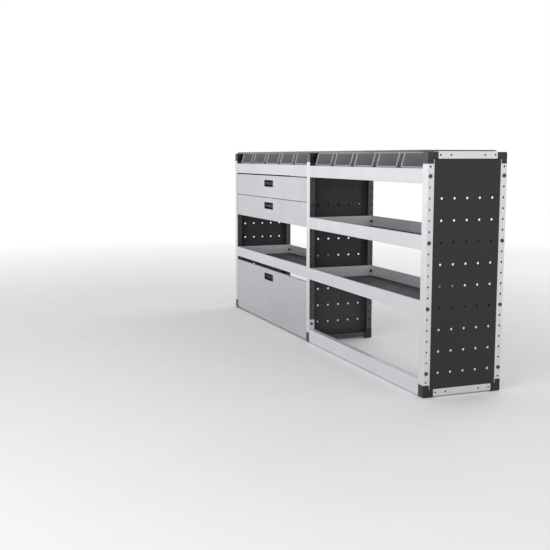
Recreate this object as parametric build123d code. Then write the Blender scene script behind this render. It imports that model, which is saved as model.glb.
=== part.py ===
from build123d import *
import os

# Van racking of two bays between three end frames. Millimetres.
# X runs along the racking, the front faces -Y, Z is up.
# The origin is on the floor, under the middle of the racking.

# Driving dimensions
HEIGHT = 1010.0
DEPTH = 375.0
FRAME_THICK = 40.0
BAY_WIDTH = 1165.0
HOLE_PITCH = 45.0
FIRST_BOLT_Z = 103.0
FOOT = 5.0
ALU = 2.0
STEEL = 1.5
# The usual gap between neighbours that don't touch
GAP = 0.5
# Outer radius of the extrusions' corners and the sheets' bends
BEND = 1.5

# The three frames: the X of the panel face, and the way the frame goes from there
HALF_LENGTH = (3 * FRAME_THICK + 2 * BAY_WIDTH) / 2
FRAMES = {
    "left": (-HALF_LENGTH, 1),
    "middle": (-FRAME_THICK / 2, 1),
    "right": (HALF_LENGTH, -1),
}
# The inner faces of the two bays
BAYS = {
    "left": (-HALF_LENGTH + FRAME_THICK, -FRAME_THICK / 2),
    "right": (FRAME_THICK / 2, HALF_LENGTH - FRAME_THICK),
}
FRONT = -DEPTH / 2
REAR = DEPTH / 2

# End frames
POST_SIDE = 30.0
SIDE_RAIL = 30.0
# The top side rail stands this far over the caps.
TOP_RAIL_RISE = 2.5
CAP_SIDE = 28.0
CAP_LEG = 48.0
CAP_WALL = 2.0
CAP_ROUND = 6.0
CAP_EDGE = 3.5
CAP_OVERLAP = 1.5
LIP = 28.0
LIP_RETURN = 12.0
JOGGLE = 3.0
POST_HOLE_R = 4.5
POST_HOLE_IN = 13.0
END_HOLE_STEP = 38.0
HOLE_ROWS = 19
PANEL_HOLE_R = 5.0
PANEL_COLUMNS = [-120.0, -60.0, 0.0, 60.0, 120.0]
PANEL_ROW_STEP = 2 * HOLE_PITCH
PANEL_ROWS = 9
RAIL_HOLE_R = 4.2
RAIL_HOLES_Y = [-129.0, -80.0, 80.0, 129.0]
POST_Z = (FOOT + CAP_LEG, HEIGHT - CAP_LEG)
HOLES_Z = [FIRST_BOLT_Z + HOLE_PITCH * k for k in range(HOLE_ROWS)]
ALL_HOLES_Z = [HOLES_Z[0] - END_HOLE_STEP, *HOLES_Z, HOLES_Z[-1] + END_HOLE_STEP]
BOLT_Z = HOLES_Z[::6]
BOLT_Y = [FRONT + POST_HOLE_IN, REAR - POST_HOLE_IN]
KEEPER_BOLT_Z = HOLES_Z[14]

# Trays and rails
RAIL_HEIGHT = 60.0
# How far the trays' rails stand above the middle of their bolts
TRAY_RISE = {"left": 3.0, "right": 0.0}
SHEET = 1.5
HEM = 8.0
BACK_GUARD_TOP = HEIGHT + 7.5
BACK_GUARD_Y = REAR - 25.5
GUARD_INSET = 15.0
# The strut that carries the top rail's outer end, as its span in Y
STRUT_Y = (-115.0, -85.0)
MAT_THICK = 3.0
MAT_PLAY = 1.0
BOTTOM_RAIL_Z = (4.0, 72.0)
BOTTOM_RAIL_FLANGE = 30.0
TAB_TOP = FIRST_BOLT_Z + 21.0
TAB_WIDTH = 30.0

# Storage bins in the top trays
BIN_COUNT = 5
BIN_WIDTH = 187.0
BIN_PITCH = 229.0
BIN_WALL = 3.0
BIN_FRONT_Y = FRONT + 20.0
BIN_TOP_Y = FRONT + 37.0
BIN_BACK_Y = BACK_GUARD_Y - 4.0
BIN_LIP_Z = 949.0
BIN_TOP_Z = 1009.0
BIN_ROUND = 2.5

# Drawers and flap, 1.5 mm behind the post faces
FACE_Y = FRONT + 1.5
SIDE_GAP = 2.0
DRAWER_Z = {"upper": (750.5, 879.5), "lower": (617.5, 748.0)}
BOX_Z = {"upper": (755.0, 864.0), "lower": (622.0, 730.0)}
SLIDE_Z = {"upper": HOLES_Z[16], "lower": HOLES_Z[13]}
BOX_BACK_Y = REAR - 22.5
FACE_RETURN = 12.0
FLAP_Z = (10.0, 323.0)
HINGE_Y = FRONT + 7.5
HINGE_Z = 14.0
KNUCKLE_R = 4.0
PIN_R = 2.0
PIN_PLAY = 0.05
KNUCKLE = 26.0
HINGE_X_SHARE = [0.12, 0.5, 0.88]
LEAF = 1.5
LEAF_REACH = 26.0
STIFFENER_X_SHARE = [0.3, 0.7]
STIFFENER_HALF = 15.0
STIFFENER_FOOT = 50.0

# Telescopic slides
SLIDE_Y = (FRONT + 5.5, REAR - 15.5)
SLIDE_THICK = 13.0
# Each member: half its height, its wall, the X of its web, and its lips from X to X
SLIDE_SECTIONS = {
    "outer": (22.5, 1.5, 0.0, 0.0, 10.5),
    "middle": (20.4, 1.2, 2.5, 2.5, 10.5),
    "inner": (18.4, 1.5, 11.5, 5.0, 13.0),
}

# Handles
HANDLE = (140.0, 40.0)
HANDLE_BELOW_TOP = 46.0
HANDLE_RIM = 3.5
HANDLE_ROUND = 3.0
CUP_WALL = 1.5
CUP_DEPTH = 22.0
CUP_SLOT_HALF = 8.0
CUP_SLOT_Z = (-5.0, 9.0)
PADDLE_Z = (-8.0, 9.0)
PADDLE_Y = (1.0, 4.0)
PIVOT_Y = 6.0
PIVOT_Z = 6.0
PIVOT_R = 3.0
PIVOT_PIN_R = 1.5
PADDLE_PLAY = 1.0
PIVOT_REACH = 2.3
TONGUE_Y = (31.0, 34.0)
TONGUE_RISE = 28.0
TONGUE_HALF = 6.0
TONGUE_ARM_Z = (-2.0, 1.0)
KEEPER_HALF = 15.0
KEEPER_Y = FACE_Y + 28.5
KEEPER_PAD = 15.0
# The tongues stop this far under their keepers.
KEEPER_PLAY = 1.0

# Fasteners
HEAD_R = 8.5
HEAD_FLANGE = 1.5
HEAD_AF = 13.0
HEAD_HIGH = 5.5
SHANK_R = 3.9
NUT_HIGH = 6.5
SHANK_END = 1.5

# Where the bays bolt something to the frames: trays at both ends of a bolt pair's depth,
# tabs only in front
TRAY_BOLTS = {"left": BOLT_Z[1::2], "right": BOLT_Z[1:]}
TAB_BOLTS = {"left": [BOLT_Z[0], KEEPER_BOLT_Z], "right": [BOLT_Z[0]]}
# The bays on the panel side and on the inner side of each frame
BESIDE = {"left": (None, "left"), "middle": ("left", "right"), "right": (None, "right")}

# How far the cutting shapes run past what they cut
CUT = 1.0


def block(x0, x1, y0, y1, z0, z1):
    """A box between two corners, given in any order."""
    size = Box(abs(x1 - x0), abs(y1 - y0), abs(z1 - z0), align=Align.MIN)
    return Pos(min(x0, x1), min(y0, y1), min(z0, z1)) * size


def rod_x(x0, x1, y, z, radius):
    """A round rod along X."""
    rod = Cylinder(radius, x1 - x0, align=(Align.CENTER, Align.CENTER, Align.MIN))
    return Pos(x0, y, z) * Rot(0, 90, 0) * rod


def prism_x(x0, x1, points):
    """A closed outline in Y and Z, pulled from x0 to x1."""
    face = Plane.YZ * make_face(Polyline([(y, z) for y, z in points], close=True))
    return Pos(x0, 0, 0) * extrude(face, x1 - x0)


def rounded(shape, axis, radius, *places):
    """Rounds the edges along an axis that pass nearest these points."""
    for place in places:
        edge = shape.edges().filter_by(axis).sort_by_distance(place)[0]
        shape = fillet(edge, radius)
    return shape


def write(node, *solids):
    """One STEP file, with each piece of the node as a solid of its own."""
    found = [s for piece in solids for s in piece.solids()]
    shape = found[0] if len(found) == 1 else Compound(children=found)
    export_step(shape, f"parts/{node}.step")


def in_frame(side, piece):
    """Puts a piece drawn from its frame's panel face, with X going inwards, into place."""
    face_x, way = FRAMES[side]
    if way < 0:
        piece = piece.mirror(Plane.YZ)
    return Pos(face_x, 0, 0) * piece


def post(rear):
    """Aluminium corner angle with its row of holes, as the front one."""
    front_leg = block(0, FRAME_THICK, FRONT, FRONT + ALU, *POST_Z)
    side_leg = block(0, ALU, FRONT, FRONT + POST_SIDE, *POST_Z)
    # Beside the caps' legs the side leg runs on, up to their arms.
    strip_z = (FOOT + SIDE_RAIL, HEIGHT - SIDE_RAIL)
    side_leg += block(0, ALU, FRONT + CAP_SIDE, FRONT + POST_SIDE, *strip_z)
    holes = [rod_x(-CUT, ALU + CUT, BOLT_Y[0], z, POST_HOLE_R) for z in ALL_HOLES_Z]
    corner = (0, FRONT, HEIGHT / 2)
    angle = rounded(front_leg + side_leg, Axis.Z, BEND, corner) - holes
    return angle.mirror(Plane.XZ) if rear else angle


def side_rail(top):
    """Aluminium angle along the top or bottom of a frame."""
    y0, y1 = FRONT + CAP_LEG, REAR - CAP_LEG
    edge, inward = (HEIGHT + TOP_RAIL_RISE, -1) if top else (FOOT, 1)
    wall = block(0, ALU, y0, y1, edge, edge + inward * SIDE_RAIL)
    ledge = block(0, FRAME_THICK, y0, y1, edge, edge + inward * ALU)
    middle = edge + inward * SIDE_RAIL / 2
    holes = [rod_x(-CUT, ALU + CUT, y, middle, RAIL_HOLE_R) for y in RAIL_HOLES_Y]
    return rounded(wall + ledge, Axis.Y, BEND, (0, 0, edge)) - holes


def raised_field(depth, inset):
    """The panel's raised field: a low frustum that opens inwards from the panel face."""
    y = REAR - POST_SIDE - inset
    z0, z1 = FOOT + SIDE_RAIL + inset, HEIGHT - SIDE_RAIL - inset
    outer = Plane.YZ.offset(depth) * Rectangle(2 * (y - JOGGLE), z1 - z0 - 2 * JOGGLE)
    inner = Plane.YZ.offset(depth + ALU) * Rectangle(2 * y, z1 - z0)
    return Pos(0, 0, (z0 + z1) / 2) * loft([outer.face(), inner.face()])


def side_panel():
    """Steel panel, set back under the aluminium edges, with a raised field of holes."""
    border = block(ALU, ALU + STEEL, FRONT + ALU, REAR - ALU, FOOT + ALU, HEIGHT - ALU)
    border = chamfer(border.edges().filter_by(Axis.X), CAP_ROUND)
    sheet = (border + raised_field(0, 0)) - raised_field(STEEL, STEEL)
    rows = [FIRST_BOLT_Z + PANEL_ROW_STEP * k for k in range(PANEL_ROWS)]
    far = ALU + STEEL + CUT
    holes = [rod_x(-CUT, far, y, z, PANEL_HOLE_R) for y in PANEL_COLUMNS for z in rows]
    bolts = [rod_x(-CUT, far, y, z, POST_HOLE_R) for y in BOLT_Y for z in ALL_HOLES_Z]
    return sheet - (holes + bolts)


def upright_channel(rear):
    """Steel channel behind a post, open to the panel, with a row of holes in its lip."""
    u0, u1 = ALU + STEEL, FRAME_THICK
    y0 = FRONT + ALU
    y1 = y0 + LIP
    z0, z1 = FOOT + 2 * CAP_ROUND, HEIGHT - 2 * CAP_ROUND
    web = block(u0, u1, y0, y0 + STEEL, z0, z1)
    lip = block(u1 - STEEL, u1, y0, y1, z0, z1)
    turned = block(u1 - LIP_RETURN, u1, y1 - STEEL, y1, z0, z1)
    near = u1 - STEEL - CUT
    holes = [rod_x(near, u1 + CUT, BOLT_Y[0], z, POST_HOLE_R) for z in ALL_HOLES_Z]
    channel = (web + lip + turned) - holes
    return channel.mirror(Plane.XZ) if rear else channel


def cross_channel(top):
    """Steel channel along the top or bottom, between the upright channels."""
    u0, u1 = ALU + STEEL, FRAME_THICK
    y1 = REAR - ALU - LIP - GAP
    edge, inward = (HEIGHT - ALU, -1) if top else (FOOT + ALU, 1)
    web = block(u0, u1, -y1, y1, edge, edge + inward * STEEL)
    return web + block(u1 - STEEL, u1, -y1, y1, edge, edge + inward * (SIDE_RAIL - ALU))


def corner_cap(top):
    """Plastic cap over a front corner. The bottom one has a foot under the frame."""
    end, edge, inward = (HEIGHT, HEIGHT, -1) if top else (0, FOOT, 1)
    u1 = FRAME_THICK + CAP_OVERLAP
    leg = block(0, u1, FRONT, FRONT + CAP_SIDE, end, edge + inward * CAP_LEG)
    arm = block(0, u1, FRONT, FRONT + CAP_LEG, end, edge + inward * SIDE_RAIL)
    cap = leg + arm
    cap = rounded(cap, Axis.X, CAP_ROUND, (0, FRONT, end))
    upright = [e for e in cap.edges().filter_by(Axis.Z) if e.center().Y < FRONT + CUT]
    cap = fillet(upright, CAP_EDGE)
    core_z = (edge + inward * CAP_WALL, edge + inward * (CAP_LEG + CUT))
    room = block(ALU, FRAME_THICK, FRONT + ALU, FRONT + CAP_LEG + CUT, *core_z)
    inside = room.edges().filter_by(Axis.X).sort_by_distance((0, FRONT, end))[0]
    return cap - chamfer(inside, CAP_ROUND - CAP_WALL)


def frame_parts(side):
    """Everything that makes one end frame."""
    write(f"post_{side}_front", in_frame(side, post(False)))
    write(f"post_{side}_rear", in_frame(side, post(True)))
    write(f"side_panel_{side}", in_frame(side, side_panel()))
    write(f"side_rails_{side}", *(in_frame(side, side_rail(t)) for t in (True, False)))
    channels = [upright_channel(False), upright_channel(True)]
    channels += [cross_channel(True), cross_channel(False)]
    write(f"inner_channels_{side}", *(in_frame(side, c) for c in channels))
    caps = [corner_cap(True), corner_cap(False)]
    caps += [c.mirror(Plane.XZ) for c in caps]
    write(f"corner_caps_{side}", *(in_frame(side, c) for c in caps))


def ends_of(bay):
    """The X of each end of a bay, and the way into the bay from there."""
    return list(zip(BAYS[bay], (1, -1)))


def rail_span(bay, bolt_z):
    """The lower and the upper edge of a tray's rails."""
    middle = bolt_z + TRAY_RISE[bay]
    return middle - RAIL_HEIGHT / 2, middle + RAIL_HEIGHT / 2


def guard_ends(bay):
    """The way to the middle frame, the guard's outer end, and where it meets the other."""
    outer, inner = sorted(BAYS[bay], key=abs, reverse=True)
    way = 1 if inner > outer else -1
    return way, outer + way * GUARD_INSET, -way * GAP / 2


def high_back_guard(bay, z0):
    """Upright sheet with a hem. It reaches over the middle frame to the other bay's."""
    way, end, meet = guard_ends(bay)
    inner = min(BAYS[bay], key=abs)
    beside_cap = inner - way * (CAP_OVERLAP + GAP)
    y0, over, top = BACK_GUARD_Y, HEIGHT + GAP, BACK_GUARD_TOP
    guard = block(end, beside_cap, y0, y0 + SHEET, z0, top)
    guard += block(end, meet, y0, y0 + SHEET, over, top)
    return guard + block(end, meet, y0, y0 + HEM, top - SHEET, top)


def top_rail(bay, z0):
    """Folded strip along the front and the outer end, as high as the guard.

    It rests on the middle frame's cap, the guard, and a strut that stands on the tray.
    """
    way, end, meet = guard_ends(bay)
    y1, over, top = BACK_GUARD_Y, HEIGHT + GAP, BACK_GUARD_TOP
    rail = block(end, meet, FRONT, FRONT + SHEET, over, top)
    rail += block(end, meet, FRONT, FRONT + HEM, top - SHEET, top)
    rail += block(end, end + way * SHEET, FRONT, y1, over, top)
    rail += block(end, end + way * HEM, FRONT, y1, top - SHEET, top)
    rail += block(end, end + way * SHEET, *STRUT_Y, z0 + SHEET, top)
    return rounded(rail, Axis.X, BEND, ((end + meet) / 2, FRONT, top))


def tray(bay, bolt_z, high_back):
    """Folded tray between two frames: a floor, a front rail, ends and a back."""
    x0, x1 = BAYS[bay]
    z0, z1 = rail_span(bay, bolt_z)
    back = BACK_GUARD_Y if high_back else REAR - SHEET
    floor = block(x0, x1, FRONT, back + SHEET, z0, z0 + SHEET)
    front = block(x0, x1, FRONT, FRONT + SHEET, z0, z1)
    front += block(x0, x1, FRONT, FRONT + HEM, z1 - SHEET, z1)
    ends = [block(x, x + way * SHEET, FRONT, REAR, z0, z1) for x, way in ends_of(bay)]
    rear = block(x0, x1, back, back + SHEET, z0, z1)
    if high_back:
        rear += high_back_guard(bay, z0)
    else:
        rear += block(x0, x1, REAR - HEM, REAR, z1 - SHEET, z1)
    shell = floor + front + rear + ends
    middle = (x0 + x1) / 2
    back_edge = (middle, back, BACK_GUARD_TOP) if high_back else (middle, REAR, z1)
    bends = [(middle, FRONT, z0), (middle, FRONT, z1), back_edge]
    shell = rounded(shell, Axis.X, BEND, *bends)
    return shell - [rod_x(x0 - CUT, x1 + CUT, y, bolt_z, POST_HOLE_R) for y in BOLT_Y]


def mat(bay, bolt_z):
    """Rubber mat on a shelf tray's floor."""
    x0, x1 = BAYS[bay]
    z0 = rail_span(bay, bolt_z)[0] + SHEET
    edge = SHEET + MAT_PLAY
    return block(x0 + edge, x1 - edge, FRONT + edge, REAR - edge, z0, z0 + MAT_THICK)


def bin_body(x0):
    """Open bin with a low lip in front and sloping side edges, at the right bay's level."""
    floor_z = rail_span("right", BOLT_Z[3])[0] + SHEET
    outline = [
        (BIN_FRONT_Y, floor_z),
        (BIN_BACK_Y, floor_z),
        (BIN_BACK_Y, BIN_TOP_Z),
        (BIN_TOP_Y, BIN_TOP_Z),
        (BIN_FRONT_Y, BIN_LIP_Z),
    ]
    hollow = [
        (BIN_FRONT_Y + BIN_WALL, floor_z + BIN_WALL),
        (BIN_BACK_Y - BIN_WALL, floor_z + BIN_WALL),
        (BIN_BACK_Y - BIN_WALL, BIN_TOP_Z + CUT),
        (BIN_FRONT_Y - CUT, BIN_TOP_Z + CUT),
        (BIN_FRONT_Y - CUT, BIN_LIP_Z),
        (BIN_FRONT_Y + BIN_WALL, BIN_LIP_Z),
    ]
    x1 = x0 + BIN_WIDTH
    body = prism_x(x0, x1, outline)
    corners = [(x, y, floor_z) for x in (x0, x1) for y in (BIN_FRONT_Y, BIN_BACK_Y)]
    body = rounded(body, Axis.Z, BIN_ROUND, *corners)
    return body - prism_x(x0 + BIN_WALL, x1 - BIN_WALL, hollow)


def bins(bay):
    """The bins of one top tray, spread evenly."""
    x0, x1 = BAYS[bay]
    start = (x0 + x1 - BIN_PITCH * (BIN_COUNT - 1) - BIN_WIDTH) / 2
    for k in range(BIN_COUNT):
        body = Pos(0, 0, TRAY_RISE[bay]) * bin_body(start + k * BIN_PITCH)
        write(f"bin_{bay}_{k + 1}", body)


def end_tab(x, way, y0, y1, z0, z1, bolt_z=FIRST_BOLT_Z):
    """Upright tab against a frame, with the hole for its bolt."""
    tab = block(x, x + way * SHEET, y0, y1, z0, z1)
    near, far = x - SHEET - CUT, x + SHEET + CUT
    return tab - rod_x(near, far, BOLT_Y[0], bolt_z, POST_HOLE_R)


def bottom_rail():
    """Front rail along the floor of the right bay, hung from a tab at each end."""
    x0, x1 = BAYS["right"]
    inset = CAP_WALL
    z0, z1 = BOTTOM_RAIL_Z
    y1 = FRONT + BOTTOM_RAIL_FLANGE
    r0, r1 = x0 + inset, x1 - inset
    rail = block(r0, r1, FRONT, FRONT + SHEET, z0, z1)
    rail += block(r0, r1, FRONT, y1, z1 - SHEET, z1)
    rail += block(r0, r1, FRONT, y1, z0, z0 + SHEET)
    rail = rounded(rail, Axis.X, BEND, (r0, FRONT, z0), (r0, FRONT, z1))
    for x, way in ends_of("right"):
        foot_x = x + way * (inset + SHEET)
        rail += block(x, foot_x, FRONT, FRONT + TAB_WIDTH, z1 - SHEET, z1)
        rail += end_tab(x, way, FRONT, FRONT + TAB_WIDTH, z1 - SHEET, TAB_TOP)
    return rail


def flap_sill():
    """Angle behind the flap that carries its hinges, hung from a tab at each end."""
    x0, x1 = BAYS["left"]
    y0 = HINGE_Y + 2 * KNUCKLE_R
    y1 = y0 + BOTTOM_RAIL_FLANGE
    z0, z1 = HINGE_Z - KNUCKLE_R + LEAF, FOOT + CAP_LEG + CAP_WALL
    r0, r1 = x0 + CAP_WALL, x1 - CAP_WALL
    sill = block(r0, r1, y0, y1, z0, z0 + SHEET)
    sill += block(r0, r1, y1 - SHEET, y1, z0, z1)
    for x, way in ends_of("left"):
        step_x = x + way * (CAP_WALL + SHEET)
        sill += block(x, step_x, y1 - TAB_WIDTH, y1, z1 - SHEET, z1)
        sill += end_tab(x, way, FRONT + HEM, y1, z1 - SHEET, TAB_TOP)
    return sill


def bay_centre():
    return sum(BAYS["left"]) / 2


def handle_z(top):
    """Height of a handle's centre below the top edge of its front."""
    return top - HANDLE_BELOW_TOP


def cup_half():
    """Half the width and half the height of the room inside a handle's cup."""
    return [size / 2 - HANDLE_RIM for size in HANDLE]


def cut_out(z):
    """The opening in a front for a handle's cup."""
    half_w, half_h = [half + CUP_WALL + GAP for half in cup_half()]
    x, y1 = bay_centre(), FACE_Y + SHEET + CUT
    return block(x - half_w, x + half_w, FACE_Y - CUT, y1, z - half_h, z + half_h)


def face_sheet(z0, z1):
    """A front's flat face, with its handle opening."""
    x0, x1 = BAYS["left"]
    sheet = block(x0 + SIDE_GAP, x1 - SIDE_GAP, FACE_Y, FACE_Y + SHEET, z0, z1)
    return sheet - cut_out(handle_z(z1))


def drawer_front(which):
    """Drawer face with folded top and bottom edges."""
    z0, z1 = DRAWER_Z[which]
    x0, x1 = BAYS["left"][0] + SIDE_GAP, BAYS["left"][1] - SIDE_GAP
    y1 = FACE_Y + SHEET + FACE_RETURN
    front = face_sheet(z0, z1)
    front += block(x0, x1, FACE_Y, y1, z1 - SHEET, z1)
    front += block(x0, x1, FACE_Y, y1, z0, z0 + SHEET)
    return rounded(front, Axis.X, BEND, (x0, FACE_Y, z0), (x0, FACE_Y, z1))


def drawer_box(which):
    """Drawer floor, sides and back, closed in front by the face."""
    z0, z1 = BOX_Z[which]
    x0, x1 = BAYS["left"][0] + SLIDE_THICK, BAYS["left"][1] - SLIDE_THICK
    y0, y1 = FACE_Y + SHEET, BOX_BACK_Y
    room = block(x0 + SHEET, x1 - SHEET, y0 - CUT, y1 - SHEET, z0 + SHEET, z1 + CUT)
    return block(x0, x1, y0, y1, z0, z1) - room


def slide_member(part, z):
    """One member of a slide at the bay's left end. X is 0 at the frame."""
    half, wall, web, lip0, lip1 = SLIDE_SECTIONS[part]
    member = block(web, web + wall, *SLIDE_Y, z - half, z + half)
    member += block(lip0, lip1, *SLIDE_Y, z + half - wall, z + half)
    return member + block(lip0, lip1, *SLIDE_Y, z - half, z - half + wall)


def slide_pair(part, which):
    """The same member at both ends of the left bay."""
    member = slide_member(part, SLIDE_Z[which])
    left = Pos(BAYS["left"][0], 0, 0) * member
    right = Pos(BAYS["left"][1], 0, 0) * member.mirror(Plane.YZ)
    return [left, right]


def handle_bezel(top):
    """Recessed cup with a rim over the face, and a slot in its back."""
    rim_w, rim_h = HANDLE[0] / 2, HANDLE[1] / 2
    in_w, in_h = cup_half()
    out_w, out_h = in_w + CUP_WALL, in_h + CUP_WALL
    back = CUP_DEPTH - CUP_WALL
    rim = block(-rim_w, rim_w, -SHEET, 0, -rim_h, rim_h)
    corners = [(x, 0, z) for x in (-rim_w, rim_w) for z in (-rim_h, rim_h)]
    rim = rounded(rim, Axis.Y, HANDLE_ROUND, *corners)
    rim = chamfer(rim.faces().sort_by(Axis.Y)[0].edges(), GAP)
    cup = block(-out_w, out_w, 0, CUP_DEPTH, -out_h, out_h)
    room = block(-in_w, in_w, -SHEET - CUT, back, -in_h, in_h)
    slot_y = (back - CUT, CUP_DEPTH + CUT)
    slot = block(-CUP_SLOT_HALF, CUP_SLOT_HALF, *slot_y, *CUP_SLOT_Z)
    pivot = rod_x(-rim_w, rim_w, PIVOT_Y, PIVOT_Z, PIVOT_PIN_R + PIN_PLAY)
    bezel = (rim + cup) - (room + slot) - pivot
    return Pos(bay_centre(), FACE_Y, handle_z(top)) * bezel


def handle_paddle(top):
    """Paddle that swings out at its lower edge, with its barrel, pins and latch tongue."""
    half = cup_half()[0] - PADDLE_PLAY
    pin_half = half + PIVOT_REACH
    arm_z = [PIVOT_Z + z for z in TONGUE_ARM_Z]
    plate = block(-half, half, *PADDLE_Y, *PADDLE_Z)
    barrel = rod_x(-half, half, PIVOT_Y, PIVOT_Z, PIVOT_R)
    pins = rod_x(-pin_half, pin_half, PIVOT_Y, PIVOT_Z, PIVOT_PIN_R)
    arm = block(-TONGUE_HALF, TONGUE_HALF, PIVOT_Y, TONGUE_Y[1], *arm_z)
    tongue = block(-TONGUE_HALF, TONGUE_HALF, *TONGUE_Y, arm_z[0], PIVOT_Z + TONGUE_RISE)
    paddle = plate + barrel + pins + arm + tongue
    return Pos(bay_centre(), FACE_Y, handle_z(top)) * paddle


def keeper_bottom(top):
    """The lower edge of the keeper over the latch of a front with this top edge."""
    return handle_z(top) + PIVOT_Z + TONGUE_RISE + KEEPER_PLAY


def angle_below(x0, x1, z_bottom, z_top):
    """Angle with a pad under z_top and a flange that hangs down in front."""
    hook = block(x0, x1, KEEPER_Y, KEEPER_Y + SHEET, z_bottom, z_top)
    return hook + block(x0, x1, KEEPER_Y, KEEPER_Y + KEEPER_PAD, z_top - SHEET, z_top)


def keeper(top, under):
    """Small keeper angle under a tray."""
    x = bay_centre()
    return angle_below(x - KEEPER_HALF, x + KEEPER_HALF, keeper_bottom(top), under)


def keeper_rail():
    """Angle across the bay between the drawers, the keeper of the lower one."""
    top = DRAWER_Z["lower"][1]
    rail = angle_below(*BAYS["left"], keeper_bottom(top), top)
    y0, y1 = FRONT + HEM, KEEPER_Y + KEEPER_PAD
    for x, way in ends_of("left"):
        rail += end_tab(x, way, y0, y1, KEEPER_BOLT_Z - HEAD_R, top, KEEPER_BOLT_Z)
    return rail


def flap_door():
    """Flap face with a folded top edge and two stiffeners."""
    z0, z1 = FLAP_Z
    x0, x1 = BAYS["left"][0] + SIDE_GAP, BAYS["left"][1] - SIDE_GAP
    y1 = FACE_Y + SHEET
    y2 = y1 + FACE_RETURN
    foot = z0 + STIFFENER_FOOT
    door = face_sheet(z0, z1)
    door += block(x0, x1, FACE_Y, y2, z1 - SHEET, z1)
    door = rounded(door, Axis.X, BEND, (x0, FACE_Y, z1))
    for share in STIFFENER_X_SHARE:
        x = x0 + (x1 - x0) * share
        outer, inner = STIFFENER_HALF, STIFFENER_HALF - SHEET
        door += block(x - outer, x + outer, y1, y2, foot, z1 - SHEET)
        door -= block(x - inner, x + inner, y1, y2 - SHEET, foot - CUT, z1 - SHEET)
    return door


def hinge_parts(x):
    """Fixed leaf, moving leaf and pin of one butt hinge centred at x."""
    step = KNUCKLE + GAP
    left, middle, right = [
        (x + k * step - KNUCKLE / 2, x + k * step + KNUCKLE / 2) for k in (-1, 0, 1)
    ]
    x0, x1 = left[0], right[1]
    low = HINGE_Z - KNUCKLE_R
    near = HINGE_Y - KNUCKLE_R
    face = FACE_Y + SHEET
    # Each leaf stops short of the other leaf's knuckles.
    clear = KNUCKLE_R + GAP
    back = HINGE_Y + 2 * KNUCKLE_R + BOTTOM_RAIL_FLANGE / 2
    fixed = block(x0, x1, HINGE_Y + clear, back, low, low + LEAF)
    for knuckle in (left, right):
        fixed += rod_x(*knuckle, HINGE_Y, HINGE_Z, KNUCKLE_R)
        fixed += block(*knuckle, HINGE_Y, HINGE_Y + clear, low, low + LEAF)
    moving = block(x0, x1, face, face + LEAF, HINGE_Z + clear, HINGE_Z + LEAF_REACH)
    moving += rod_x(*middle, HINGE_Y, HINGE_Z, KNUCKLE_R)
    moving += block(*middle, near, near + LEAF, HINGE_Z, HINGE_Z + 2 * KNUCKLE_R)
    moving += block(*middle, face, near + LEAF, HINGE_Z + clear, HINGE_Z + 2 * KNUCKLE_R)
    pin = rod_x(x0 - CUT, x1 + CUT, HINGE_Y, HINGE_Z, PIN_R)
    bore = rod_x(x0 - CUT, x1 + CUT, HINGE_Y, HINGE_Z, PIN_R + PIN_PLAY)
    return fixed - pin, moving - bore, pin


def hinges():
    x0, x1 = BAYS["left"]
    sets = [hinge_parts(x0 + (x1 - x0) * share) for share in HINGE_X_SHARE]
    write("hinge_leaves_fixed", *(s[0] for s in sets))
    write("hinge_leaves_moving", *(s[1] for s in sets))
    write("hinge_pins", *(s[2] for s in sets))


def hexagon(x0, x1, y, z):
    """Hexagonal bar along X."""
    face = Plane.YZ * RegularPolygon(HEAD_AF / 2, 6, major_radius=False)
    return Pos(x0, y, z) * extrude(face, x1 - x0)


def plate_at(bay, y, z):
    """Thickness of the sheet that a bay bolts to the frame's face there."""
    if bay is None:
        return 0.0
    has_tab = y < 0 and z in TAB_BOLTS[bay]
    return SHEET if has_tab or z in TRAY_BOLTS[bay] else 0.0


def bolt_and_nut(side, y, z):
    """One bolt through a frame, and its nut."""
    head_bay, nut_bay = BESIDE[side]
    seat = -plate_at(head_bay, y, z)
    far = FRAME_THICK + plate_at(nut_bay, y, z)
    end = far + NUT_HIGH + SHANK_END
    bolt = rod_x(seat - HEAD_FLANGE, seat, y, z, HEAD_R)
    bolt += hexagon(seat - HEAD_HIGH, seat - HEAD_FLANGE, y, z)
    bolt += rod_x(seat, end, y, z, SHANK_R)
    nut = hexagon(far, far + NUT_HIGH, y, z) - rod_x(far - CUT, end, y, z, SHANK_R)
    return in_frame(side, bolt), in_frame(side, nut)


def fasteners():
    places = [(side, y, z) for side in FRAMES for z in BOLT_Z for y in BOLT_Y]
    places += [(side, BOLT_Y[0], KEEPER_BOLT_Z) for side in ("left", "middle")]
    pairs = [bolt_and_nut(*place) for place in places]
    write("frame_bolts", *(pair[0] for pair in pairs))
    write("frame_nuts", *(pair[1] for pair in pairs))


def drawer_parts(which):
    top = DRAWER_Z[which][1]
    write(f"drawer_front_{which}", drawer_front(which))
    write(f"drawer_box_{which}", drawer_box(which))
    write(f"handle_bezel_{which}", handle_bezel(top))
    write(f"handle_paddle_{which}", handle_paddle(top))
    write(f"slides_middle_{which}", *slide_pair("middle", which))
    write(f"slides_inner_{which}", *slide_pair("inner", which))


def flap_parts():
    top = FLAP_Z[1]
    write("flap_door", flap_door())
    write("flap_sill", flap_sill())
    write("handle_bezel_flap", handle_bezel(top))
    write("handle_paddle_flap", handle_paddle(top))
    hinges()


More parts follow.
